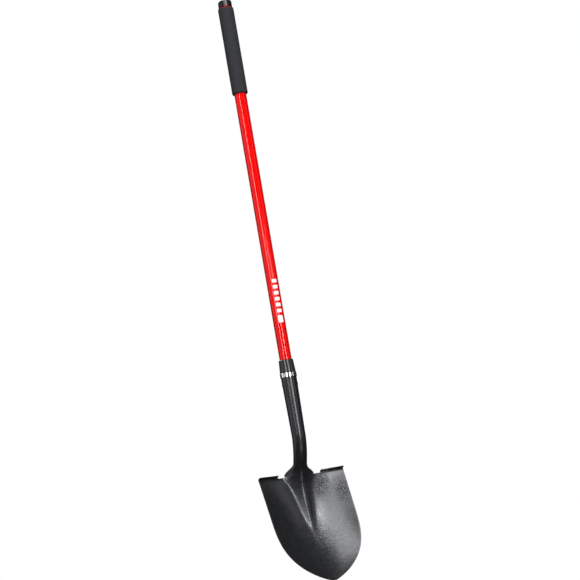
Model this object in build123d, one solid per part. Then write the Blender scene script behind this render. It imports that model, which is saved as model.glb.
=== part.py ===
from build123d import *

import os
from math import cos, exp, radians, sin, sqrt

# Round point shovel, in millimetres.
# The handle stands along +Z and the blade's tip is at z = 0.
# The hollow of the blade and the foot steps face -Y, and X runs across the blade.
# Everything is drawn with the handle's centre line on x = y = 0. At the end it moves
# back by SHAFT_Y, which puts the origin under the middle of the whole tool.

SHAFT_Y = 15.8

# ---- Blade ------------------------------------------------------------------------------
BLADE_LENGTH = 274.0        # height of the blade above the tip, where the neck begins
SHEET = 2.0                 # 14 gauge steel
TIP_Y = -80.0               # the tip stands this far in front of the handle
RIM_SLOPE = 0.396           # the rim leans back by this much per millimetre of height
SIDE_WIDTH = 110.0          # half the width between the parallel sides
SIDE_FLARE = 4.2            # extra half width at the top corners
ROUND_HEIGHT = 175.6        # the round point is this high
ROUND_POWER = 3.14
ROUND_FULLNESS = 0.85
DISH_AT_TOP = 14.0          # hollow behind the rim, at the middle of the top edge
DISH_BOW = 29.0             # further hollow at mid length
DISH_LIP = 9.0              # further hollow that comes in close under the top edge
DISH_LIP_POWER = 18.0
DISH_SOFTNESS = 17.0        # keeps the hollow smooth where the rim closes at the tip
SURFACE_COLUMNS = 52
SURFACE_ROWS = 64
ROW_CROWDING = 1.3          # rows are closer together towards the tip
SURFACE_MARGIN = 4.0        # the sheet is drawn this much too large, then trimmed
TIP_MARGIN = 6.0            # and this much more at the tip, fading out at TIP_HEIGHT
TIP_HEIGHT = 60.0
OUTLINE_STEPS = 14
TRIM_DEPTH = 300.0          # longer than the blade is deep

# ---- Frog, the ridge that carries the socket's front wall down into the blade -----------
FROG_FOOT = 150.0           # height at which the ridge runs out into the dish
FROG_FOOT_Y = 14.0          # and how far behind the handle's centre line it is there
FROG_FOOT_SLOPE = 0.22
FROG_CREST_RADIUS = 11.0    # radius of the ridge's crest
FROG_SPREAD_FOOT = 1.3      # sideways run of the flanks per millimetre of depth
FROG_SPREAD_MIDDLE = 1.1    # extra run at mid height
FROG_FILLET = 4.0           # softness of the crease between ridge and dish
FOOT_HALF_WIDTH = 40.0      # half width of the ridge at the top edge of the blade

# ---- Foot steps -------------------------------------------------------------------------
STEP_INNER = 55.5           # the steps start this far from the middle
STEP_HEIGHT = 274.6         # the treads' undersides leave the sheet at this height
STEP_DEPTH = 9.6            # they turn forward by this much
STEP_TILT = 19.0            # the treads rise towards the front, in degrees
STEP_CORNER = 3.0           # each tread's outer front corner is cut off by this much
STEP_SEAT = 1.0             # the treads reach this far back, into the sheet
STEP_POINTS = 7
NOTCH_HEIGHT = 272.2        # height of the top edge between the steps and the ridge
NOTCH_SLANT = 1.5           # the top edge slants up to the ridge over this width

# ---- Socket -----------------------------------------------------------------------------
SOCKET_TOP = 522.0
SOCKET_RADIUS_TOP = 20.0
CRANK_TOP = 372.0           # the socket is straight above this height
SOCKET_RADIUS_CRANK = 17.6
NECK_HEIGHT = 294.0         # at this height the neck's centre is NECK_BACK behind
NECK_BACK = 28.0
NECK_POWER = 1.8
FLARE_TOP = 303.0           # the ridge's spread has closed to a round neck here
FLARE_RISE = 2.4            # the flare's edges run this much further back above the blade
FLARE_RISE_HEIGHT = 4.0     # most of it within this height
SEAM_BOTTOM = 345.0         # the rolled edges meet at the back from here up
WRAP_BOTTOM = 108.0         # the sheet wraps this far round to each side, in degrees
WRAP_TOP = 176.0
NECK_LAP = 0.3              # the neck stands this much proud of the blade where they join
NECK_LAP_TOP = 360.0        # and is flush above this height
SOCKET_SHEET = 2.3          # thickness of the neck and the socket
NECK_BOTTOM = 266.0
NECK_ROWS = 36
NECK_COLUMNS = 36
SIDE_STEP = 0.001           # share of the half width used to find the sheet's direction

# ---- Handle -----------------------------------------------------------------------------
OVERALL_LENGTH = 1518.0
TUBE_RADIUS = 15.5
TUBE_BORE = 12.3
TUBE_BOTTOM = 396.0
TUBE_TOP = 1514.0
CORE_TOP = 600.0

# ---- Collar, band and rivet -------------------------------------------------------------
SLEEVE_BOTTOM = 430.0
BAND_BOTTOM = 517.0
BAND_TOP = 528.0
BAND_RADIUS = 21.1
BAND_BEVEL = 0.6
COLLAR_TOP = 562.0
COLLAR_RADIUS_TOP = 18.4
COLLAR_RADIUS_BOTTOM = 20.5
COLLAR_EDGE = 1.2
RIVET_HEIGHT = 499.0
RIVET_RADIUS = 3.2
RIVET_HEAD_RADIUS = 5.4
RIVET_HEAD_STANDS = 1.5     # how far each head stands out of the socket
FIT_GAP = 0.05              # between pieces that are pushed together

# ---- Foam grip and end cap --------------------------------------------------------------
FOAM_BOTTOM = 1264.0
FOAM_TOP = 1498.0
FOAM_RADIUS = 20.5
FOAM_END_ROUND = 4.0
CAP_BOTTOM = 1500.5
CAP_RADIUS = 18.0
CAP_CROWN = 4.5
CAP_PLUG_LENGTH = 28.0


def smooth_step(value, low, high):
    """0 below low, 1 above high, with a smooth rise between."""
    t = min(1.0, max(0.0, (value - low) / (high - low)))
    return t * t * (3.0 - 2.0 * t)


def half_width(z):
    """Half the blade's width: nearly parallel sides that close to a round point."""
    side = SIDE_WIDTH + SIDE_FLARE * (z / BLADE_LENGTH) ** 2
    left = min(1.0, max(0.0, 1.0 - z / ROUND_HEIGHT))
    return side * (1.0 - left**ROUND_POWER) ** ROUND_FULLNESS


def dish(x, z):
    """How far back the plain dish lies, without the ridge."""
    rise = z / BLADE_LENGTH
    rim = TIP_Y + RIM_SLOPE * z
    depth = DISH_AT_TOP * rise + 4.0 * DISH_BOW * rise * (1.0 - rise)
    depth += DISH_LIP * rise**DISH_LIP_POWER
    across = x * x / (half_width(z) ** 2 + DISH_SOFTNESS**2)
    return rim + depth * (1.0 - across)


def socket_radius(z):
    """Outer radius of the tapered socket."""
    share = (max(z, CRANK_TOP) - CRANK_TOP) / (SOCKET_TOP - CRANK_TOP)
    return SOCKET_RADIUS_CRANK + (SOCKET_RADIUS_TOP - SOCKET_RADIUS_CRANK) * share


def neck_centre(z):
    """How far the cranked neck's centre line is behind the handle's."""
    below = max(0.0, CRANK_TOP - z) / (CRANK_TOP - NECK_HEIGHT)
    return NECK_BACK * below**NECK_POWER


def crest(z):
    """The front line of the neck, which runs on as the crest of the ridge."""
    if z >= NECK_HEIGHT:
        return neck_centre(z) - socket_radius(z)
    span = NECK_HEIGHT - FROG_FOOT
    t = (z - FROG_FOOT) / span
    top = NECK_BACK - socket_radius(NECK_HEIGHT)
    top_slope = -NECK_BACK * NECK_POWER / (CRANK_TOP - NECK_HEIGHT)
    if t < 0.0:
        return FROG_FOOT_Y + FROG_FOOT_SLOPE * t * span
    start = (1.0 + 2.0 * t) * (1.0 - t) ** 2 * FROG_FOOT_Y
    start += t * (1.0 - t) ** 2 * span * FROG_FOOT_SLOPE
    end = t * t * (3.0 - 2.0 * t) * top
    end += t * t * (t - 1.0) * span * top_slope
    return start + end


def blade_surface(x, z):
    """How far back the front face of the sheet lies: dish and ridge, with a soft crease."""
    middle = (z - FROG_FOOT) / (BLADE_LENGTH - FROG_FOOT)
    middle = min(1.0, max(0.0, middle))
    spread = FROG_SPREAD_FOOT + 4.0 * FROG_SPREAD_MIDDLE * middle * (1.0 - middle)
    sharp = FROG_CREST_RADIUS / spread**2
    ridge = crest(z) - sharp + sqrt(sharp**2 + (x / spread) ** 2)
    plain = dish(x, z)
    return (ridge + plain - sqrt((ridge - plain) ** 2 + FROG_FILLET**2)) / 2.0


def neck_point(t, z):
    """A point of the sheet's front face at height z, with t from -1 to 1 across it."""
    spread_x = FOOT_HALF_WIDTH * t
    level = min(z, BLADE_LENGTH)
    middle = blade_surface(0.0, level)
    edge = blade_surface(FOOT_HALF_WIDTH, level)
    share = (blade_surface(spread_x, level) - middle) / (edge - middle)
    middle += crest(z) - crest(level)
    edge += FLARE_RISE * (1.0 - exp((level - z) / FLARE_RISE_HEIGHT))
    spread_y = middle + (edge - middle) * share
    wrap = WRAP_BOTTOM + (WRAP_TOP - WRAP_BOTTOM) * smooth_step(z, BLADE_LENGTH, SEAM_BOTTOM)
    angle = radians(wrap) * t
    round_x = socket_radius(z) * sin(angle)
    round_y = neck_centre(z) - socket_radius(z) * cos(angle)
    share = smooth_step(z, BLADE_LENGTH, FLARE_TOP)
    return (
        spread_x + (round_x - spread_x) * share,
        spread_y + (round_y - spread_y) * share,
    )


def lapped_neck_point(t, z):
    """A point of the neck's face, which stands NECK_LAP proud of the blade's."""
    x, y = neck_point(t, z)
    ahead = neck_point(t + SIDE_STEP, z)
    behind = neck_point(t - SIDE_STEP, z)
    along_x = ahead[0] - behind[0]
    along_y = ahead[1] - behind[1]
    length = sqrt(along_x**2 + along_y**2)
    lap = NECK_LAP * (1.0 - smooth_step(z, FLARE_TOP, NECK_LAP_TOP))
    return Vector(x + lap * along_y / length, y - lap * along_x / length, z)


def blade_outline():
    """The round-point outline, seen from the front."""
    step_edge = STEP_HEIGHT + SHEET / 2.0
    right = []
    for i in range(OUTLINE_STEPS + 1):
        z = step_edge * (i / OUTLINE_STEPS) ** 2
        right.append((half_width(z), z))
    top = [
        right[-1],
        (STEP_INNER, step_edge),
        (STEP_INNER, NOTCH_HEIGHT),
        (FOOT_HALF_WIDTH + NOTCH_SLANT, NOTCH_HEIGHT),
        (FOOT_HALF_WIDTH, BLADE_LENGTH),
    ]
    left = [(-x, z) for x, z in right]
    top += [(-x, z) for x, z in reversed(top)]
    return Plane.XZ * make_face([Spline(right), Polyline(top), Spline(left)])


def blade_sheet():
    """The dished sheet with its ridge, cut to the outline and given its thickness."""
    rows = []
    for j in range(SURFACE_ROWS + 1):
        share = (j / SURFACE_ROWS) ** ROW_CROWDING
        z = (BLADE_LENGTH + 2.0 * SURFACE_MARGIN) * share - SURFACE_MARGIN
        widest = half_width(z) + SURFACE_MARGIN + TIP_MARGIN * max(0.0, 1.0 - z / TIP_HEIGHT)
        row = []
        for i in range(SURFACE_COLUMNS + 1):
            x = widest * (2.0 * i / SURFACE_COLUMNS - 1.0)
            row.append(Vector(x, blade_surface(x, z), z))
        rows.append(row)
    front_face = Face.make_surface_from_array_of_points(rows)
    trimmer = extrude(blade_outline(), amount=TRIM_DEPTH, both=True)
    trimmed = (front_face & trimmer).faces()[0]
    return Solid.thicken(trimmed, SHEET, normal_override=(0, 1, 0))


def step_line_point(side, x):
    """Where the tread's underside leaves the sheet, at this distance from the middle."""
    return Vector(side * x, blade_surface(x, STEP_HEIGHT), STEP_HEIGHT)


def foot_step(side):
    """One foot step: a flat tread that turns forward and up from the blade's top edge."""
    outer = half_width(STEP_HEIGHT)
    corner = step_line_point(side, outer)
    along = (step_line_point(side, STEP_INNER) - corner).normalized()
    level_back = Vector(side * along.Y, -side * along.X, 0)
    tilt = radians(STEP_TILT)
    up = level_back * sin(tilt) + Vector(0, 0, cos(tilt))
    back = level_back * cos(tilt) - Vector(0, 0, sin(tilt))
    back_edge = []
    for i in range(STEP_POINTS):
        x = outer + (STEP_INNER - outer) * i / (STEP_POINTS - 1)
        offset = step_line_point(side, x) - corner
        distance = offset.dot(level_back) / cos(tilt) + STEP_SEAT
        back_edge.append(corner + along * offset.dot(along) + back * distance)
    forward = back * -(STEP_DEPTH + STEP_SEAT)
    front_edge = [point + forward for point in back_edge]
    rounded = front_edge[0] + back * STEP_CORNER
    front_edge[0] = front_edge[0] + along * STEP_CORNER
    profile = make_face(
        [
            Spline(back_edge),
            Line(back_edge[-1], front_edge[-1]),
            Spline(front_edge),
            Line(front_edge[0], rounded),
            Line(rounded, back_edge[0]),
        ]
    )
    return extrude(profile, amount=SHEET, dir=up)


def socket():
    """The neck and the tapered socket: one sheet, rolled until its edges nearly meet."""
    rows = []
    for j in range(NECK_ROWS + 1):
        z = NECK_BOTTOM + (SOCKET_TOP - NECK_BOTTOM) * j / NECK_ROWS
        across = [2.0 * i / NECK_COLUMNS - 1.0 for i in range(NECK_COLUMNS + 1)]
        rows.append([lapped_neck_point(t, z) for t in across])
    front_face = Face.make_surface_from_array_of_points(rows)
    return Solid.thicken(front_face, SOCKET_SHEET, normal_override=(0, 1, 0))


def rivet_bar(radius):
    """A bar across the handle at the rivet's height."""
    return Pos(0, 0, RIVET_HEIGHT) * Rot(0, 90, 0) * Cylinder(radius, 4.0 * SOCKET_RADIUS_TOP)


def make_blade():
    lower = blade_sheet() + foot_step(-1) + foot_step(1)
    upper = socket() - rivet_bar(RIVET_RADIUS + FIT_GAP)
    below = Pos(0, 0, -TRIM_DEPTH / 2.0) * Box(TRIM_DEPTH, TRIM_DEPTH, TRIM_DEPTH)
    return lower + upper - below


def revolved(points):
    """A body turned about the handle's centre line from (radius, height) corners."""
    return revolve(Plane.XZ * make_face(Polyline(points, close=True)), Axis.Z)


def make_handle_tube():
    height = TUBE_TOP - TUBE_BOTTOM
    middle = Pos(0, 0, (TUBE_TOP + TUBE_BOTTOM) / 2.0)
    wall = middle * (Cylinder(TUBE_RADIUS, height) - Cylinder(TUBE_BORE, height))
    return wall - rivet_bar(RIVET_RADIUS + FIT_GAP)


def make_handle_core():
    height = CORE_TOP - TUBE_BOTTOM
    rod = Pos(0, 0, (CORE_TOP + TUBE_BOTTOM) / 2.0) * Cylinder(TUBE_BORE, height)
    return rod - rivet_bar(RIVET_RADIUS + FIT_GAP)


def make_socket_collar():
    """Tapered collar above the socket, with a sleeve that fills the gap inside it."""
    inside_top = socket_radius(SOCKET_TOP) - SOCKET_SHEET - FIT_GAP
    inside_bottom = socket_radius(SLEEVE_BOTTOM) - SOCKET_SHEET - FIT_GAP
    shoulder = SOCKET_TOP + 2.0 * FIT_GAP
    body = revolved(
        [
            (TUBE_RADIUS, SLEEVE_BOTTOM),
            (inside_bottom, SLEEVE_BOTTOM),
            (inside_top, shoulder),
            (SOCKET_RADIUS_TOP, shoulder),
            (SOCKET_RADIUS_TOP, BAND_TOP),
            (COLLAR_RADIUS_BOTTOM, BAND_TOP),
            (COLLAR_RADIUS_TOP, COLLAR_TOP - COLLAR_EDGE),
            (COLLAR_RADIUS_TOP - COLLAR_EDGE, COLLAR_TOP),
            (TUBE_RADIUS, COLLAR_TOP),
        ]
    )
    return body - rivet_bar(RIVET_RADIUS + FIT_GAP)


def make_socket_band():
    """Bright ring over the mouth of the socket and the foot of the collar."""
    inner = SOCKET_RADIUS_TOP + FIT_GAP
    return revolved(
        [
            (inner, BAND_BOTTOM),
            (BAND_RADIUS - BAND_BEVEL, BAND_BOTTOM),
            (BAND_RADIUS, BAND_BOTTOM + BAND_BEVEL),
            (BAND_RADIUS, BAND_TOP - BAND_BEVEL),
            (BAND_RADIUS - BAND_BEVEL, BAND_TOP),
            (inner, BAND_TOP),
        ]
    )


def make_socket_rivet():
    """Cross rivet: a shank right through, with a domed head against each side."""
    seat = socket_radius(RIVET_HEIGHT)
    sphere = (RIVET_HEAD_STANDS**2 + RIVET_HEAD_RADIUS**2) / (2.0 * RIVET_HEAD_STANDS)
    taper = Pos(0, 0, (SOCKET_TOP + CRANK_TOP) / 2.0) * Cone(
        SOCKET_RADIUS_CRANK + FIT_GAP,
        SOCKET_RADIUS_TOP + FIT_GAP,
        SOCKET_TOP - CRANK_TOP,
    )
    shank = Cylinder(RIVET_RADIUS, 2.0 * seat + RIVET_HEAD_STANDS)
    rivet = Pos(0, 0, RIVET_HEIGHT) * Rot(0, 90, 0) * shank
    for side in (-1, 1):
        centre = side * (seat + RIVET_HEAD_STANDS - sphere)
        dome = Pos(centre, 0, RIVET_HEIGHT) * Sphere(sphere) & rivet_bar(RIVET_HEAD_RADIUS)
        rivet = rivet + (dome - taper)
    return rivet


def make_foam_grip():
    height = FOAM_TOP - FOAM_BOTTOM
    sleeve = Pos(0, 0, (FOAM_TOP + FOAM_BOTTOM) / 2.0) * Cylinder(FOAM_RADIUS, height)
    rims = sleeve.edges().filter_by(GeomType.CIRCLE)
    sleeve = fillet(rims, FOAM_END_ROUND)
    return sleeve - Pos(0, 0, (FOAM_TOP + FOAM_BOTTOM) / 2.0) * Cylinder(TUBE_RADIUS, height)


def make_end_cap():
    """Cap over the tube's top end, with a plug inside the bore."""
    height = OVERALL_LENGTH - CAP_BOTTOM
    body = Pos(0, 0, (OVERALL_LENGTH + CAP_BOTTOM) / 2.0) * Cylinder(CAP_RADIUS, height)
    top_rim = body.edges().filter_by(GeomType.CIRCLE).sort_by(Axis.Z)[-1]
    body = fillet(top_rim, CAP_CROWN)
    wall = TUBE_TOP - CAP_BOTTOM
    groove = Cylinder(TUBE_RADIUS, wall) - Cylinder(TUBE_BORE - FIT_GAP, wall)
    body = body - Pos(0, 0, (TUBE_TOP + CAP_BOTTOM) / 2.0) * groove
    plug = Pos(0, 0, CAP_BOTTOM - CAP_PLUG_LENGTH / 2.0) * Cylinder(
        TUBE_BORE - FIT_GAP, CAP_PLUG_LENGTH
    )
    return body + plug


PIECES = {
    "blade": make_blade,
    "socket_collar": make_socket_collar,
    "socket_band": make_socket_band,
    "socket_rivet": make_socket_rivet,
    "handle_tube": make_handle_tube,
    "handle_core": make_handle_core,
    "foam_grip": make_foam_grip,
    "end_cap": make_end_cap,
}

os.makedirs("parts", exist_ok=True)
for node, make in PIECES.items():
    piece = Pos(0, SHAFT_Y, 0) * make()
    export_step(piece, f"parts/{node}.step")
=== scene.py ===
import math

import bmesh
import bpy
from mathutils import Matrix, Vector


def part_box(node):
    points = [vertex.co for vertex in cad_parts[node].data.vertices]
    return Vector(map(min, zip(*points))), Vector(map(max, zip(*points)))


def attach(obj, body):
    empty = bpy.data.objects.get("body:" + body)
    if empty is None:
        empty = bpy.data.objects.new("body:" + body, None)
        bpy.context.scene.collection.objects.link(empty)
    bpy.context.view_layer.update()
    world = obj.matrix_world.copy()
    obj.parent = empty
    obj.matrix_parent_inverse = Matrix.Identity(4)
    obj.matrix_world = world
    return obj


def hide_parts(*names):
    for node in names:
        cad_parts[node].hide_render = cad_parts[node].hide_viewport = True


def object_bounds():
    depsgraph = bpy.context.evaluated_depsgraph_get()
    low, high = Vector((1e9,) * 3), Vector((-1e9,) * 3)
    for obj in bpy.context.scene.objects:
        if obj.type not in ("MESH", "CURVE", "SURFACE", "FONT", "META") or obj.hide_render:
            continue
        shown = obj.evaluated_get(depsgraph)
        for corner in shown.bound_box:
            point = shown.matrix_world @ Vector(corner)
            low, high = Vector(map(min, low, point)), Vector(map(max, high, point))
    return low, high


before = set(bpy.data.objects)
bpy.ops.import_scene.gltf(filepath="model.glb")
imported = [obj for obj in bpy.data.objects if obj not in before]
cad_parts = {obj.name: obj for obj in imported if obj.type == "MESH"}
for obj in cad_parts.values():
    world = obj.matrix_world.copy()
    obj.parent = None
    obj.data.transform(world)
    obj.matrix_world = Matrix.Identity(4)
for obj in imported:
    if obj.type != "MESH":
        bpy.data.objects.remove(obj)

cad_low, cad_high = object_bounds()

MM = 0.001
MERGE_DISTANCE = 1e-6

# ---- Places, read from the frame ------------------------------------------------------------
tube_low, tube_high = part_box("handle_tube")
foam_low, foam_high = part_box("foam_grip")

SHAFT = Vector(((tube_low.x + tube_high.x) / 2, (tube_low.y + tube_high.y) / 2, 0.0))
TUBE_R = (tube_high.x - tube_low.x) / 2
FOAM_R = (foam_high.x - foam_low.x) / 2

# ---- The blade's shape, in millimetres from the handle's centre line ------------------------
# The outline, dish, ridge and neck follow the CAD model; the crease beside the ridge is tighter.
BLADE_LENGTH = 274.0
SHEET = 2.0
TIP_START = 1.3                # the point is blunted at this height
TIP_Y = -80.0
RIM_SLOPE = 0.396
SIDE_WIDTH = 110.0
SIDE_FLARE = 4.2
ROUND_HEIGHT = 175.6
ROUND_POWER = 3.14
ROUND_FULLNESS = 0.85
DISH_AT_TOP = 14.0
DISH_BOW = 29.0
DISH_LIP = 9.0
DISH_LIP_POWER = 18.0
DISH_SOFTNESS = 17.0

FROG_FOOT = 150.0
FROG_FOOT_Y = 14.0
FROG_FOOT_SLOPE = 0.22
FROG_CREST_RADIUS = 11.0
FROG_SPREAD_FOOT = 1.3
FROG_SPREAD_MIDDLE = 1.1
FROG_FILLET = 2.9
FOOT_HALF_WIDTH = 40.0

STEP_INNER = 55.5
STEP_HEIGHT = 274.6
STEP_DEPTH = 9.6
STEP_TILT = 19.0               # degrees that the treads rise towards the front
STEP_BEND = 1.2
STEP_CORNER = 3.2
NOTCH_HEIGHT = 272.2

SOCKET_TOP = 522.0
SOCKET_R_TOP = 20.0
CRANK_TOP = 372.0
SOCKET_R_CRANK = 17.6
NECK_HEIGHT = 294.0
NECK_BACK = 28.0
NECK_POWER = 1.8
FLARE_TOP = 303.0
FLARE_RISE = 2.4
FLARE_RISE_HEIGHT = 4.0
SEAM_BOTTOM = 345.0
WRAP_BOTTOM = 108.0            # degrees that the sheet reaches round to each side
WRAP_TOP = 176.0

RIM_BEVEL = 0.55
RIM_BEVEL_SEGMENTS = 2
RIM_BEVEL_ANGLE = 55.0

# ---- The grid that the blade is made on -----------------------------------------------------
MIDDLE_COLUMNS = 80            # across the ridge and the neck
NOTCH_COLUMNS = 8              # between the ridge and each step
WING_COLUMNS = 26              # across each step
EDGE_SPLIT = 0.004             # the notch's end is this steep, as a share of the wing
MIDDLE_AT_POINT = 13.0         # half width of the middle columns below the ridge
MIDDLE_START = 120.0           # height from which they widen to the neck
MIDDLE_SHARE = 0.32            # the most of the blade's width that they take
NECK_EDGE_POWER = 6            # how late the top edge drops beside the neck
BLADE_ROWS = 120
ROW_CROWDING = 1.35            # rows lie closer together towards the point
TOP_FOLLOW = 8                 # only the highest rows follow the top edge
NECK_ROWS = 56
NECK_LAG_ROWS = 12             # rows over which the neck's first rows level out
SOCKET_ROWS = 30
BEND_ROWS = 6
TREAD_ROWS = 10

# ---- The handle's parts, in millimetres -----------------------------------------------------
TUBE_WALL = 3.2
TUBE_EDGE = 0.4
TUBE_ROWS = 24
TUBE_STEPS = 128
FOAM_CORNER = 3.5
FOAM_CORNER_STEPS = 8
FOAM_GAP = 0.02
FOAM_MOUTH_DEPTH = 0.8
FOAM_MOUTH_WIDTH = 1.0
FOAM_ROWS = 90
FOAM_STEPS = 144
FOAM_SHRINK = 0.0022           # how much the sleeve gives on average, as a share
FOAM_SHRINK_CHANGE = 0.5       # how far that changes over its surface
FOAM_LONG_WAVE = (37.0, 2.0)   # radians for a metre upwards, and for a radian round
FOAM_SHORT_WAVE = (83.0, -3.0)


def smooth_step(value, low, high):
    """0 below low, 1 above high, with a smooth rise between."""
    t = min(1.0, max(0.0, (value - low) / (high - low)))
    return t * t * (3.0 - 2.0 * t)


def half_width(z):
    """Half the blade's width: nearly parallel sides that close to a round point."""
    side = SIDE_WIDTH + SIDE_FLARE * (z / BLADE_LENGTH) ** 2
    left = min(1.0, max(0.0, 1.0 - z / ROUND_HEIGHT))
    return side * (1.0 - left**ROUND_POWER) ** ROUND_FULLNESS


def dish(x, z):
    """How far back the plain dish lies, without the ridge."""
    rise = z / BLADE_LENGTH
    rim = TIP_Y + RIM_SLOPE * z
    depth = DISH_AT_TOP * rise + 4.0 * DISH_BOW * rise * (1.0 - rise)
    depth += DISH_LIP * rise**DISH_LIP_POWER
    across = x * x / (half_width(z) ** 2 + DISH_SOFTNESS**2)
    return rim + depth * (1.0 - across)


def socket_radius(z):
    """Outer radius of the tapered socket."""
    share = (max(z, CRANK_TOP) - CRANK_TOP) / (SOCKET_TOP - CRANK_TOP)
    return SOCKET_R_CRANK + (SOCKET_R_TOP - SOCKET_R_CRANK) * share


def neck_centre(z):
    """How far the cranked neck's centre line is behind the handle's."""
    below = max(0.0, CRANK_TOP - z) / (CRANK_TOP - NECK_HEIGHT)
    return NECK_BACK * below**NECK_POWER


def crest(z):
    """The front line of the neck, which runs on as the crest of the ridge."""
    if z >= NECK_HEIGHT:
        return neck_centre(z) - socket_radius(z)
    span = NECK_HEIGHT - FROG_FOOT
    t = (z - FROG_FOOT) / span
    if t < 0.0:
        return FROG_FOOT_Y + FROG_FOOT_SLOPE * t * span
    top = NECK_BACK - socket_radius(NECK_HEIGHT)
    top_slope = -NECK_BACK * NECK_POWER / (CRANK_TOP - NECK_HEIGHT)
    start = (1.0 + 2.0 * t) * (1.0 - t) ** 2 * FROG_FOOT_Y
    start += t * (1.0 - t) ** 2 * span * FROG_FOOT_SLOPE
    end = t * t * (3.0 - 2.0 * t) * top
    end += t * t * (t - 1.0) * span * top_slope
    return start + end


def blade_surface(x, z):
    """How far back the front face of the sheet lies: dish and ridge, with a soft crease."""
    middle = min(1.0, max(0.0, (z - FROG_FOOT) / (BLADE_LENGTH - FROG_FOOT)))
    spread = FROG_SPREAD_FOOT + 4.0 * FROG_SPREAD_MIDDLE * middle * (1.0 - middle)
    sharp = FROG_CREST_RADIUS / spread**2
    ridge = crest(z) - sharp + math.sqrt(sharp**2 + (x / spread) ** 2)
    plain = dish(x, z)
    return (ridge + plain - math.sqrt((ridge - plain) ** 2 + FROG_FILLET**2)) / 2.0


def neck_point(t, z):
    """A point of the neck's front face at height z, with t from -1 to 1 across it."""
    spread_x = FOOT_HALF_WIDTH * t
    level = min(z, BLADE_LENGTH)
    middle = blade_surface(0.0, level)
    edge = blade_surface(FOOT_HALF_WIDTH, level)
    share = (blade_surface(spread_x, level) - middle) / (edge - middle)
    middle += crest(z) - crest(level)
    edge += FLARE_RISE * (1.0 - math.exp((level - z) / FLARE_RISE_HEIGHT))
    spread_y = middle + (edge - middle) * share
    wrap = WRAP_BOTTOM + (WRAP_TOP - WRAP_BOTTOM) * smooth_step(z, BLADE_LENGTH, SEAM_BOTTOM)
    angle = math.radians(wrap) * t
    round_x = socket_radius(z) * math.sin(angle)
    round_y = neck_centre(z) - socket_radius(z) * math.cos(angle)
    share = smooth_step(z, BLADE_LENGTH, FLARE_TOP)
    return Vector((
        spread_x + (round_x - spread_x) * share,
        spread_y + (round_y - spread_y) * share,
        z,
    ))


# ---- Small mesh and object helpers ----------------------------------------------------------
def new_object(name, mesh):
    piece = bpy.data.objects.new(name, mesh)
    bpy.context.scene.collection.objects.link(piece)
    return piece


def smooth_mesh(name, vertices, faces):
    """A mesh object with consistent normals and smooth shading."""
    mesh = bpy.data.meshes.new(name)
    mesh.from_pydata(vertices, [], faces)
    work = bmesh.new()
    work.from_mesh(mesh)
    bmesh.ops.remove_doubles(work, verts=work.verts, dist=MERGE_DISTANCE)
    bmesh.ops.recalc_face_normals(work, faces=work.faces)
    work.to_mesh(mesh)
    work.free()
    mesh.shade_smooth()
    return new_object(name, mesh)


def apply_modifiers(piece):
    """Replaces a piece's mesh by what its modifiers make of it."""
    graph = bpy.context.evaluated_depsgraph_get()
    made = bpy.data.meshes.new_from_object(piece.evaluated_get(graph))
    piece.modifiers.clear()
    piece.data = made


def lathe(name, profile, steps):
    """Turns (radius, height) corners into a closed ring about the handle's line."""
    vertices, faces = [], []
    count = len(profile)
    for i in range(steps):
        angle = 2.0 * math.pi * i / steps
        for radius, height in profile:
            vertices.append((
                SHAFT.x + radius * math.cos(angle),
                SHAFT.y + radius * math.sin(angle),
                height,
            ))
    for i in range(steps):
        following = (i + 1) % steps
        for j in range(count):
            after = (j + 1) % count
            faces.append((
                i * count + j,
                following * count + j,
                following * count + after,
                i * count + after,
            ))
    return smooth_mesh(name, vertices, faces)


def arc(centre_r, centre_z, radius, start, end, steps):
    """Profile points on a round corner, angles in degrees from outwards to upwards."""
    points = []
    for i in range(steps + 1):
        angle = math.radians(start + (end - start) * i / steps)
        points.append((centre_r + radius * math.cos(angle), centre_z + radius * math.sin(angle)))
    return points


# ---- Blade ----------------------------------------------------------------------------------
class Sheet:
    """Points found by part, column and row, and the quads between them."""

    def __init__(self):
        self.vertices = []
        self.faces = []
        self.index = {}

    def add(self, part, column, row, point):
        self.index[part, column, row] = len(self.vertices)
        self.vertices.append(point)

    def share(self, part, column, row, other):
        """Lets a point of one part also be a point of another."""
        self.index[part, column, row] = self.index[other]

    def point(self, part, column, row):
        return self.vertices[self.index[part, column, row]]

    def quad(self, part, i, j):
        corners = ((i, j), (i + 1, j), (i + 1, j + 1), (i, j + 1))
        self.faces.append([self.index[part, column, row] for column, row in corners])


def blade_columns():
    """Across the sheet: (middle share or None, share of the wing from ridge to rim, side)."""
    top = half_width(BLADE_LENGTH) - FOOT_HALF_WIDTH
    step = (STEP_INNER - FOOT_HALF_WIDTH) / top
    shares = [step * (i + 1) / NOTCH_COLUMNS for i in range(NOTCH_COLUMNS - 1)]
    shares += [step - EDGE_SPLIT, step + EDGE_SPLIT]
    shares += [step + (1.0 - step) * (i + 1) / WING_COLUMNS for i in range(WING_COLUMNS)]
    columns = [(None, share, -1) for share in reversed(shares)]
    for i in range(MIDDLE_COLUMNS + 1):
        columns.append((2.0 * i / MIDDLE_COLUMNS - 1.0, 0.0, 0))
    columns += [(None, share, 1) for share in shares]
    return columns


def middle_half_width(z):
    """Half width of the middle columns: the ridge's foot, closing with the blade's point."""
    rise = max(0.0, z - MIDDLE_START)
    ridge = MIDDLE_AT_POINT + (FOOT_HALF_WIDTH - MIDDLE_AT_POINT) * rise / (BLADE_LENGTH - MIDDLE_START)
    return min(ridge, MIDDLE_SHARE * half_width(z))


def column_x(column, z):
    share, wing, side = column
    middle = middle_half_width(z)
    if share is not None:
        return middle * share
    return side * (middle + (half_width(z) - middle) * wing)


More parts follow.
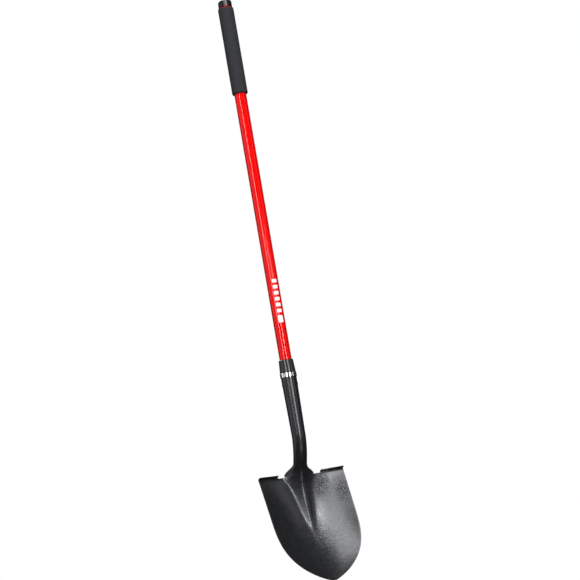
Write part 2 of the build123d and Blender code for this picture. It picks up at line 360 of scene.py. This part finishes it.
def column_top(column):
    """Where this column of the blade's grid ends at the top."""
    share = column[0]
    if share is not None:
        drop = 1.0 - abs(share) ** NECK_EDGE_POWER
        return NOTCH_HEIGHT + (BLADE_LENGTH - NOTCH_HEIGHT) * drop
    x = abs(column_x(column, BLADE_LENGTH))
    return STEP_HEIGHT - STEP_BEND if x >= STEP_INNER else NOTCH_HEIGHT


def add_dish(sheet, columns):
    """The dished blade with its ridge."""
    for j in range(BLADE_ROWS + 1):
        share = j / BLADE_ROWS
        level = TIP_START + (BLADE_LENGTH - TIP_START) * share**ROW_CROWDING
        for i, column in enumerate(columns):
            z = level - (BLADE_LENGTH - column_top(column)) * share**TOP_FOLLOW
            x = column_x(column, z)
            sheet.add("dish", i, j, Vector((x, blade_surface(x, z), z)))
    for j in range(BLADE_ROWS):
        for i in range(len(columns) - 1):
            sheet.quad("dish", i, j)


def add_neck(sheet, columns):
    """The neck and the socket, above the middle columns."""
    first = NOTCH_COLUMNS + 1 + WING_COLUMNS
    neck_rise = CRANK_TOP - BLADE_LENGTH
    socket_rise = SOCKET_TOP - CRANK_TOP
    heights = [BLADE_LENGTH + neck_rise * (k + 1) / NECK_ROWS for k in range(NECK_ROWS)]
    heights += [CRANK_TOP + socket_rise * (k + 1) / SOCKET_ROWS for k in range(SOCKET_ROWS)]
    for i in range(MIDDLE_COLUMNS + 1):
        sheet.share("neck", i, 0, ("dish", first + i, BLADE_ROWS))
        behind = BLADE_LENGTH - sheet.point("neck", i, 0).z
        for k, height in enumerate(heights):
            lag = behind * max(0.0, 1.0 - k / NECK_LAG_ROWS) ** 2
            sheet.add("neck", i, k + 1, neck_point(columns[first + i][0], height - lag))
    for i in range(MIDDLE_COLUMNS):
        for k in range(len(heights)):
            sheet.quad("neck", i, k)


def add_steps(sheet, columns):
    """The foot steps: the top edge bends forward, then runs on flat to its cut corners."""
    wings = [i for i, column in enumerate(columns) if column[0] is None]
    steps = [i for i in wings if abs(sheet.point("dish", i, BLADE_ROWS).x) >= STEP_INNER]
    tilt = math.radians(STEP_TILT)
    forward = Vector((0.0, -math.cos(tilt), math.sin(tilt)))
    upward = Vector((0.0, math.sin(tilt), math.cos(tilt)))
    outer = half_width(BLADE_LENGTH)
    for i in steps:
        sheet.share("step", i, 0, ("dish", i, BLADE_ROWS))
        base = sheet.point("step", i, 0)
        for k in range(BEND_ROWS):
            angle = math.pi / 2.0 * (k + 1) / BEND_ROWS
            move = upward * math.sin(angle) + forward * (1.0 - math.cos(angle))
            sheet.add("step", i, k + 1, base + STEP_BEND * move)
        bent = sheet.point("step", i, BEND_ROWS)
        inner = math.copysign(STEP_INNER, bent.x)
        for k in range(TREAD_ROWS):
            turn = math.sin(math.pi / 2.0 * (k + 1) / TREAD_ROWS)
            reach = (STEP_DEPTH - STEP_BEND) * turn
            into = max(0.0, reach + STEP_BEND - (STEP_DEPTH - STEP_CORNER))
            cut = STEP_CORNER - math.sqrt(STEP_CORNER**2 - into**2)
            point = bent + forward * reach
            point.x = inner + (point.x - inner) * (1.0 - cut / (outer - STEP_INNER))
            sheet.add("step", i, BEND_ROWS + k + 1, point)
    for i in steps:
        if i + 1 in steps:
            for k in range(BEND_ROWS + TREAD_ROWS):
                sheet.quad("step", i, k)


def make_blade():
    """Blade, steps, neck and socket: one front face, thickened backwards and rounded at its rim."""
    columns = blade_columns()
    sheet = Sheet()
    add_dish(sheet, columns)
    add_neck(sheet, columns)
    add_steps(sheet, columns)
    placed = [tuple(SHAFT + MM * point) for point in sheet.vertices]
    mesh = bpy.data.meshes.new("blade_shell")
    mesh.from_pydata(placed, [], sheet.faces)
    mesh.shade_smooth()
    piece = new_object("blade_shell", mesh)

    solid = piece.modifiers.new("thickness", "SOLIDIFY")
    solid.thickness = SHEET * MM
    solid.offset = -1.0
    solid.use_even_offset = True
    solid.use_quality_normals = True
    edge = piece.modifiers.new("edges", "BEVEL")
    edge.width = RIM_BEVEL * MM
    edge.segments = RIM_BEVEL_SEGMENTS
    edge.limit_method = "ANGLE"
    edge.angle_limit = math.radians(RIM_BEVEL_ANGLE)
    apply_modifiers(piece)
    piece.data.shade_smooth()
    return piece


# ---- Handle ---------------------------------------------------------------------------------
def make_tube():
    """The straight tube with its bore and broken edges."""
    bore = TUBE_R - TUBE_WALL * MM
    edge = TUBE_EDGE * MM
    low, high = tube_low.z, tube_high.z
    profile = [(bore, low), (TUBE_R - edge, low), (TUBE_R, low + edge)]
    profile += [(TUBE_R, low + (high - low) * k / TUBE_ROWS) for k in range(1, TUBE_ROWS)]
    profile += [(TUBE_R, high - edge), (TUBE_R - edge, high), (bore, high)]
    return lathe("fibreglass_tube", profile, TUBE_STEPS)


def foam_profile():
    """The sleeve's section: rounded ends outside, small chamfers at its mouths."""
    low, high = foam_low.z, foam_high.z
    corner = FOAM_CORNER * MM
    bore = TUBE_R + FOAM_GAP * MM
    mouth_r = bore + FOAM_MOUTH_WIDTH * MM
    mouth_z = FOAM_MOUTH_DEPTH * MM
    centre_r = FOAM_R - corner
    straight = high - low - 2.0 * corner
    profile = [(bore, low + mouth_z), (mouth_r, low)]
    profile += arc(centre_r, low + corner, corner, -90, 0, FOAM_CORNER_STEPS)
    for k in range(1, FOAM_ROWS):
        profile.append((FOAM_R, low + corner + straight * k / FOAM_ROWS))
    profile += arc(centre_r, high - corner, corner, 0, 90, FOAM_CORNER_STEPS)
    profile += [(mouth_r, high), (bore, high - mouth_z)]
    return profile


def make_foam():
    """The foam sleeve, slightly uneven as foam is."""
    piece = lathe("foam_sleeve", foam_profile(), FOAM_STEPS)
    for vertex in piece.data.vertices:
        place = Vector(vertex.co) - SHAFT
        if math.hypot(place.x, place.y) < FOAM_R - FOAM_CORNER * MM:
            continue
        angle = math.atan2(place.y, place.x)
        wave = 0.0
        for upwards, round_about in (FOAM_LONG_WAVE, FOAM_SHORT_WAVE):
            wave += math.sin(upwards * place.z + round_about * angle)
        shrink = 1.0 - FOAM_SHRINK * (1.0 + FOAM_SHRINK_CHANGE * wave)
        vertex.co.x = SHAFT.x + place.x * shrink
        vertex.co.y = SHAFT.y + place.y * shrink
    return piece


# ---- Places of wear and of the printed mark, in metres --------------------------------------
SCUFF_AT = (0.044, SHAFT.y + 0.036, 0.25)       # beside the ridge's foot
SCUFF_REACH = (0.036, 0.05, 0.05)
DULL_AT = (0.1, SHAFT.y + 0.01, 0.222)          # along the rim, below the foot step
DULL_REACH = (0.03, 0.05, 0.055)
LINES_AT = (0.02, SHAFT.y - 0.01, 0.11)         # across the dish below the ridge
LINES_REACH = (0.09, 0.09, 0.06)
NEAR_CORE = 0.25               # share of a reach within which an effect is whole
MARK_HALF_WIDTH = 0.0062
BARS_BOTTOM = 0.683
BAR_PITCH = 0.0155
BAR_SHARE = 0.55
BAR_COUNT = 6
BLOCK_HEIGHT = 0.666
BLOCK_HALF = 0.009

# ---- Colours (linear) and finishes ----------------------------------------------------------
LACQUER_IOR = 1.62
# Painted light colour: a cool tint on the lacquer's reflections that stands in for cool lamp light.
PAINTED_COOL_LIGHT_TINT = (0.95, 0.96, 1.0, 1.0)
LACQUER_DARK = (0.008, 0.0085, 0.0095)
LACQUER_LIGHT = (0.012, 0.0125, 0.0145)
LACQUER_WORN = (0.16, 0.16, 0.165)
LACQUER_ROUGHNESS = (0.24, 0.32)
WORN_SHARE = 0.1               # how much of the worn colour the specks show
SCUFF_DULLNESS = 0.95
DULL_ROUGHNESS = (0.0, 0.5)
LINE_ROUGHNESS = (-0.07, 0.07)
RIM_PIT_SHARE = 0.35           # how deep the pits at the rim are against those of the scuffs

RED_IOR = 1.42
RED_DARK = (0.62, 0.0006, 0.0005)
RED_LIGHT = (0.76, 0.0012, 0.0008)
RED_ROUGHNESS = (0.09, 0.13)
MARK_WHITE = (0.88, 0.87, 0.86)
MARK_COVER = (0.75, 1.0)       # how well the print covers, from worn to whole

FOAM_IOR = 1.35
FOAM_SHADER_ROUGHNESS = 0.92
FOAM_DARK = (0.010, 0.0105, 0.012)
FOAM_LIGHT = (0.025, 0.026, 0.030)
FOAM_ROUGHNESS = (0.85, 0.97)

PLASTIC_IOR = 1.5
COLLAR_DARK = (0.016, 0.0165, 0.018)
COLLAR_LIGHT = (0.025, 0.0255, 0.027)
COLLAR_ROUGHNESS = (0.17, 0.23)
CAP_DARK = (0.005, 0.005, 0.006)
CAP_LIGHT = (0.010, 0.010, 0.011)
CAP_ROUGHNESS = (0.15, 0.21)

PLATE_DARK = (0.80, 0.80, 0.79)
PLATE_LIGHT = (0.92, 0.92, 0.91)
PLATE_ROUGHNESS = (0.13, 0.18)
WOOD_DARK = (0.42, 0.27, 0.14)
WOOD_LIGHT = (0.62, 0.45, 0.27)
WOOD_ROUGHNESS = (0.6, 0.75)
FLOOR_DARK = (0.86, 0.86, 0.86)
FLOOR_LIGHT = (0.89, 0.89, 0.89)
FLOOR_ROUGHNESS = 0.7
FLOOR_GLOW = 0.72


# ---- Materials ------------------------------------------------------------------------------
class Look:
    """A small builder for node materials."""

    def __init__(self, name):
        self.material = bpy.data.materials.new(name)
        self.material.use_nodes = True
        self.nodes = self.material.node_tree.nodes
        self.links = self.material.node_tree.links
        self.shader = self.nodes["Principled BSDF"]
        self.place = self.nodes.new("ShaderNodeTexCoord").outputs["Object"]

    def set(self, **values):
        for name, value in values.items():
            self.shader.inputs[name.replace("_", " ")].default_value = value

    def link(self, source, target):
        self.links.new(source, target)

    def scaled(self, x, y, z):
        mapping = self.nodes.new("ShaderNodeMapping")
        mapping.inputs["Scale"].default_value = (x, y, z)
        self.link(self.place, mapping.inputs["Vector"])
        return mapping.outputs["Vector"]

    def noise(self, scale, detail=4.0, roughness=0.55, vector=None):
        node = self.nodes.new("ShaderNodeTexNoise")
        node.inputs["Scale"].default_value = scale
        node.inputs["Detail"].default_value = detail
        node.inputs["Roughness"].default_value = roughness
        self.link(vector or self.place, node.inputs["Vector"])
        return node.outputs["Fac"]

    def cells(self, scale):
        node = self.nodes.new("ShaderNodeTexVoronoi")
        node.inputs["Scale"].default_value = scale
        self.link(self.place, node.inputs["Vector"])
        return node.outputs["Distance"]

    def ramp(self, source, low, high, start=0.0, end=1.0):
        """Maps source from low..high to start..end, clamped."""
        node = self.nodes.new("ShaderNodeMapRange")
        node.inputs["From Min"].default_value = low
        node.inputs["From Max"].default_value = high
        node.inputs["To Min"].default_value = start
        node.inputs["To Max"].default_value = end
        self.link(source, node.inputs["Value"])
        return node.outputs["Result"]

    def near(self, centre, reach):
        """1 at a place, falling to 0 at this reach along each axis."""
        node = self.nodes.new("ShaderNodeMapping")
        node.inputs["Location"].default_value = [-c / r for c, r in zip(centre, reach)]
        node.inputs["Scale"].default_value = [1.0 / r for r in reach]
        self.link(self.place, node.inputs["Vector"])
        length = self.nodes.new("ShaderNodeVectorMath")
        length.operation = "LENGTH"
        self.link(node.outputs["Vector"], length.inputs[0])
        return self.ramp(length.outputs["Value"], NEAR_CORE, 1.0, 1.0, 0.0)

    def math(self, kind, a, b=None):
        node = self.nodes.new("ShaderNodeMath")
        node.operation = kind
        for socket, value in zip(node.inputs, (a, b)):
            if value is None:
                continue
            if isinstance(value, (int, float)):
                socket.default_value = value
            else:
                self.link(value, socket)
        return node.outputs[0]

    def times(self, a, b):
        return self.math("MULTIPLY", a, b)

    def mix(self, factor, a, b):
        """The colour a where factor is 0, and b where it is 1."""
        node = self.nodes.new("ShaderNodeMix")
        node.data_type = "RGBA"
        factor_socket, a_socket, b_socket = node.inputs[0], node.inputs[6], node.inputs[7]
        self.link(factor, factor_socket)
        for socket, value in ((a_socket, a), (b_socket, b)):
            if isinstance(value, tuple):
                socket.default_value = (*value, 1.0)
            else:
                self.link(value, socket)
        return node.outputs[2]

    def bump(self, height, strength, distance, before=None):
        node = self.nodes.new("ShaderNodeBump")
        node.inputs["Strength"].default_value = strength
        node.inputs["Distance"].default_value = distance
        self.link(height, node.inputs["Height"])
        if before is not None:
            self.link(before, node.inputs["Normal"])
        return node.outputs["Normal"]

    def colour(self, source):
        self.link(source, self.shader.inputs["Base Color"])

    def rough(self, source):
        self.link(source, self.shader.inputs["Roughness"])

    def normal(self, source):
        self.link(source, self.shader.inputs["Normal"])


def lacquered_steel():
    """Black lacquer over drawn steel: orange peel, faint drawing lines, and a few scuffs."""
    look = Look("black_lacquer")
    # The reflections get a cool tint that stands in for cool lamp light: painted light colour.
    look.set(IOR=LACQUER_IOR, Specular_Tint=PAINTED_COOL_LIGHT_TINT)
    scuffs = look.near(SCUFF_AT, SCUFF_REACH)
    dull_rim = look.near(DULL_AT, DULL_REACH)

    patches = look.ramp(look.noise(scale=55.0, detail=5.0, roughness=0.65), 0.35, 0.65)
    base = look.mix(patches, LACQUER_DARK, LACQUER_LIGHT)
    specks = look.ramp(look.noise(scale=300.0, roughness=0.7), 0.5, 0.7)
    worn = look.times(scuffs, specks)
    look.colour(look.mix(look.times(worn, WORN_SHARE), base, LACQUER_WORN))

    drawn = look.noise(scale=1.0, detail=3.0, roughness=0.6, vector=look.scaled(16.0, 16.0, 620.0))
    strokes = look.ramp(drawn, 0.35, 0.65, *LINE_ROUGHNESS)
    lined = look.times(look.near(LINES_AT, LINES_REACH), strokes)
    satin = look.ramp(look.noise(scale=90.0, roughness=0.6), 0.3, 0.7, *LACQUER_ROUGHNESS)
    handled = look.math("MAXIMUM", look.times(scuffs, SCUFF_DULLNESS), dull_rim)
    spots = look.noise(scale=210.0, detail=3.0, roughness=0.7)
    mottle = look.ramp(spots, 0.38, 0.62, *DULL_ROUGHNESS)
    dull = look.times(handled, mottle)
    look.rough(look.math("ADD", look.math("ADD", satin, lined), dull))

    pits = look.ramp(look.noise(scale=190.0, detail=3.0, roughness=0.7), 0.46, 0.6, 1.0, 0.0)
    pitted = look.math("MAXIMUM", scuffs, look.times(dull_rim, RIM_PIT_SHARE))
    fine = look.noise(scale=310.0, detail=2.0, roughness=0.5)
    peel = look.bump(fine, strength=0.03, distance=0.0002)
    broad = look.noise(scale=34.0, detail=2.0)
    waves = look.bump(broad, strength=0.3, distance=0.0012, before=peel)
    streaks = look.bump(lined, strength=0.5, distance=0.002, before=waves)
    pocked = look.bump(look.times(pitted, pits), strength=0.6, distance=0.0009, before=streaks)
    look.normal(look.bump(drawn, strength=0.02, distance=0.0002, before=pocked))
    return look.material


def red_fibreglass():
    """Glossy red fibreglass with lengthwise fibres and a plain printed mark."""
    look = Look("red_fibreglass")
    look.set(IOR=RED_IOR)
    grain = look.noise(scale=1.0, roughness=0.6, vector=look.scaled(900.0, 900.0, 12.0))
    base = look.mix(look.ramp(grain, 0.35, 0.65), RED_DARK, RED_LIGHT)
    look.colour(look.mix(printed_bars(look), base, MARK_WHITE))
    cloud = look.noise(scale=20.0, detail=2.0)
    look.rough(look.ramp(cloud, 0.3, 0.7, *RED_ROUGHNESS))
    look.normal(look.bump(grain, strength=0.02, distance=0.0001))
    return look.material


def printed_bars(look):
    """A row of plain white bars and a plain block, printed on the front of the handle."""
    split = look.nodes.new("ShaderNodeSeparateXYZ")
    look.link(look.place, split.inputs["Vector"])
    across, depth, height = split.outputs
    front = look.math("LESS_THAN", depth, SHAFT.y)
    width = look.math("LESS_THAN", look.math("ABSOLUTE", across), MARK_HALF_WIDTH)
    up = look.math("SUBTRACT", height, BARS_BOTTOM)
    phase = look.math("FRACT", look.math("DIVIDE", up, BAR_PITCH))
    bars = look.math("LESS_THAN", phase, BAR_SHARE)
    above = look.math("GREATER_THAN", up, 0.0)
    below = look.math("LESS_THAN", up, BAR_PITCH * BAR_COUNT)
    bars = look.times(bars, look.times(above, below))
    middle = look.math("ABSOLUTE", look.math("SUBTRACT", height, BLOCK_HEIGHT))
    block = look.math("LESS_THAN", middle, BLOCK_HALF)
    shape = look.math("MAXIMUM", bars, block)
    worn = look.ramp(look.noise(scale=700.0, detail=3.0, roughness=0.6), 0.3, 0.4, *MARK_COVER)
    return look.times(look.times(shape, worn), look.times(front, width))


def foam():
    """Matte closed-cell foam with open pores, and painted shade in the pores and in the low parts of
    its lumps.
    """
    look = Look("grip_foam")
    look.set(IOR=FOAM_IOR, Roughness=FOAM_SHADER_ROUGHNESS)
    pores = look.cells(scale=900.0)
    lumps = look.noise(scale=90.0)
    # Painted shade: the colour darkens in the pores and in the low parts of the lumps, where the bumps
    # below dip.
    pore_shade = look.ramp(pores, 0.0, 0.55, 0.7, 1.15)
    lump_shade = look.ramp(lumps, 0.3, 0.7, 0.9, 1.1)
    pore_and_lump_shade = look.ramp(look.times(pore_shade, lump_shade), 0.7, 1.2)
    look.colour(look.mix(pore_and_lump_shade, FOAM_DARK, FOAM_LIGHT))
    look.rough(look.ramp(lumps, 0.3, 0.7, *FOAM_ROUGHNESS))
    soft = look.bump(lumps, strength=0.25, distance=0.0008)
    look.normal(look.bump(pores, strength=0.5, distance=0.0004, before=soft))
    return look.material


def moulded_plastic(name, dark, light, roughness):
    """Satin black plastic with the fine grain of its mould."""
    look = Look(name)
    look.set(IOR=PLASTIC_IOR)
    grain = look.noise(scale=700.0, detail=3.0, roughness=0.6)
    cloud = look.noise(scale=45.0, detail=3.0)
    look.colour(look.mix(look.ramp(cloud, 0.35, 0.65), dark, light))
    look.rough(look.ramp(cloud, 0.3, 0.7, *roughness))
    look.normal(look.bump(grain, strength=0.15, distance=0.0002))
    return look.material


def plated_metal():
    """Bright plating over a finely turned ring."""
    look = Look("bright_plating")
    look.set(Metallic=1.0)
    turned = look.scaled(60.0, 60.0, 2600.0)
    brush = look.noise(scale=1.0, detail=3.0, roughness=0.6, vector=turned)
    cloud = look.noise(scale=80.0, detail=3.0)
    look.colour(look.mix(look.ramp(cloud, 0.3, 0.7), PLATE_DARK, PLATE_LIGHT))
    look.rough(look.ramp(brush, 0.3, 0.7, *PLATE_ROUGHNESS))
    look.normal(look.bump(brush, strength=0.1, distance=0.0001))
    return look.material


def plain_wood():
    """Straight-grained wood."""
    look = Look("core_wood")
    along = look.scaled(260.0, 260.0, 9.0)
    grain = look.noise(scale=1.0, detail=5.0, roughness=0.6, vector=along)
    look.colour(look.mix(look.ramp(grain, 0.3, 0.7), WOOD_DARK, WOOD_LIGHT))
    look.rough(look.ramp(grain, 0.3, 0.7, *WOOD_ROUGHNESS))
    look.normal(look.bump(grain, strength=0.3, distance=0.0004))
    return look.material


def pale_floor():
    """A pale, faintly uneven studio floor."""
    look = Look("pale_floor")
    cloud = look.noise(scale=2.0, detail=3.0)
    look.colour(look.mix(look.ramp(cloud, 0.3, 0.7), FLOOR_DARK, FLOOR_LIGHT))
    look.set(Roughness=FLOOR_ROUGHNESS, Emission_Strength=FLOOR_GLOW)
    look.set(Emission_Color=(1.0, 1.0, 1.0, 1.0))
    speckle = look.noise(scale=300.0, detail=2.0)
    look.normal(look.bump(speckle, strength=0.05, distance=0.0005))
    return look.material


# ---- The pieces and their finishes ----------------------------------------------------------
def dress(mesh, material):
    """Gives a mesh its one material."""
    mesh.materials.clear()
    mesh.materials.append(material)


blade = make_blade()
tube = make_tube()
sleeve = make_foam()

lacquer = lacquered_steel()
dress(blade.data, lacquer)
dress(tube.data, red_fibreglass())
dress(sleeve.data, foam())

for piece, node, slot in (
    (blade, "blade", "blade_steel"),
    (tube, "handle_tube", "handle_fibreglass"),
    (sleeve, "foam_grip", "grip_foam"),
):
    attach(piece, "root")
    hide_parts(node)

for node, material in (
    ("socket_collar", moulded_plastic("collar_plastic", COLLAR_DARK, COLLAR_LIGHT, COLLAR_ROUGHNESS)),
    ("end_cap", moulded_plastic("cap_vinyl", CAP_DARK, CAP_LIGHT, CAP_ROUGHNESS)),
    ("socket_band", plated_metal()),
    ("socket_rivet", lacquer),
    ("handle_core", plain_wood()),
):
    dress(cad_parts[node].data, material)


# ---- Stage ----------------------------------------------------------------------------------
FLOOR_RADIUS = 2.2
FLOOR_SEGMENTS = 128
FLOOR_GAP = 0.5 * MM
WORLD_LIGHT = 0.035            # the world's strength for light and reflections
WORLD_SEEN = 1.0               # and as seen by the camera

MIDDLE_AIM = Vector((SHAFT.x, SHAFT.y, 0.75))
LOW_AIM = Vector((SHAFT.x, SHAFT.y, 0.2))
SOFTBOXES = (
    # name, azimuth and elevation in degrees, distance, aim, width, height, watts
    ("main_box", -8.0, 42.0, 5.2, LOW_AIM, 3.4, 2.1, 128.0),
    ("top_box", -24.0, 62.0, 5.2, LOW_AIM, 2.6, 1.9, 92.0),
    ("main_core", 8.0, 38.0, 5.0, LOW_AIM, 1.0, 0.8, 36.0),
    ("ridge_box", 8.0, 15.0, 2.6, LOW_AIM, 0.5, 0.7, 8.0),
    ("key_strip", -41.0, 14.5, 3.2, MIDDLE_AIM, 0.7, 1.6, 30.0),
    ("front_strip", 3.0, -2.0, 3.2, MIDDLE_AIM, 0.4, 1.8, 25.0),
    ("left_wide", -74.0, 8.0, 3.2, MIDDLE_AIM, 1.0, 3.0, 6.0),
    ("far_left", -107.0, 8.0, 3.2, MIDDLE_AIM, 1.7, 3.0, 13.0),
    ("right_strip", 47.0, 8.0, 3.2, MIDDLE_AIM, 0.6, 3.0, 6.0),
    ("front_low", 5.0, -28.0, 2.8, LOW_AIM, 1.6, 0.8, 5.0),
    ("back_fill", 175.0, 46.0, 3.2, MIDDLE_AIM, 2.0, 1.6, 60.0),
)

CAMERA_AZIMUTH = -21.0
CAMERA_ELEVATION = -9.2
CAMERA_ROLL = -9.81
CAMERA_DISTANCE = 4.60668
CAMERA_AIM = Vector((0.0436, SHAFT.y, 0.73919))
CAMERA_LENS = 112.17
CAMERA_SENSOR = 36.0
CAMERA_CLIP = (0.1, 50.0)


def direction(azimuth, elevation):
    """A unit vector, azimuth 0 in front and positive to the right."""
    a, e = math.radians(azimuth), math.radians(elevation)
    return Vector((math.sin(a) * math.cos(e), -math.cos(a) * math.cos(e), math.sin(e)))


def make_floor():
    """A round floor just under the tool, which casts no light or shadow on it."""
    work = bmesh.new()
    bmesh.ops.create_circle(work, cap_ends=True, segments=FLOOR_SEGMENTS, radius=FLOOR_RADIUS)
    mesh = bpy.data.meshes.new("floor")
    work.to_mesh(mesh)
    work.free()
    floor = new_object("floor", mesh)
    floor.location = (0.0, 0.0, cad_low.z - FLOOR_GAP)
    floor.data.materials.append(pale_floor())
    floor.visible_diffuse = False
    floor.visible_glossy = False
    floor.visible_shadow = False


def make_world():
    """White to the eye, a softer grey for light and reflections."""
    world = bpy.data.worlds.new("studio")
    bpy.context.scene.world = world
    world.use_nodes = True
    nodes, links = world.node_tree.nodes, world.node_tree.links
    back = nodes["Background"]
    back.inputs["Color"].default_value = (1.0, 1.0, 1.0, 1.0)
    path = nodes.new("ShaderNodeLightPath")
    level = nodes.new("ShaderNodeMapRange")
    level.inputs["To Min"].default_value = WORLD_LIGHT
    level.inputs["To Max"].default_value = WORLD_SEEN
    links.new(path.outputs["Is Camera Ray"], level.inputs["Value"])
    links.new(level.outputs["Result"], back.inputs["Strength"])


def softbox(name, azimuth, elevation, distance, aim, width, height, watts):
    """An area light that faces the point it is aimed at."""
    away = direction(azimuth, elevation)
    data = bpy.data.lights.new(name, "AREA")
    data.shape = "RECTANGLE"
    data.size = width
    data.size_y = height
    data.energy = watts
    light = bpy.data.objects.new(name, data)
    light.location = aim + away * distance
    light.rotation_mode = "QUATERNION"
    light.rotation_quaternion = away.to_track_quat("Z", "Y")
    light.visible_camera = False
    bpy.context.scene.collection.objects.link(light)


def make_camera():
    """The camera of the product view: low, to the left, and turned so the tool leans."""
    azimuth, roll = math.radians(CAMERA_AZIMUTH), math.radians(CAMERA_ROLL)
    back = direction(CAMERA_AZIMUTH, CAMERA_ELEVATION)
    level = Vector((math.cos(azimuth), math.sin(azimuth), 0.0))
    up = back.cross(level)
    right = level * math.cos(roll) + up * math.sin(roll)
    top = -level * math.sin(roll) + up * math.cos(roll)
    data = bpy.data.cameras.new("camera")
    data.lens = CAMERA_LENS
    data.sensor_width = CAMERA_SENSOR
    data.clip_start, data.clip_end = CAMERA_CLIP
    camera = bpy.data.objects.new("camera", data)
    place = Matrix((right, top, back)).transposed().to_4x4()
    place.translation = CAMERA_AIM + back * CAMERA_DISTANCE
    camera.matrix_world = place
    bpy.context.scene.collection.objects.link(camera)
    bpy.context.scene.camera = camera


make_floor()
make_world()
for row in SOFTBOXES:
    softbox(*row)
make_camera()
bpy.context.scene.view_settings.view_transform = "Standard"

bpy.context.view_layer.update()
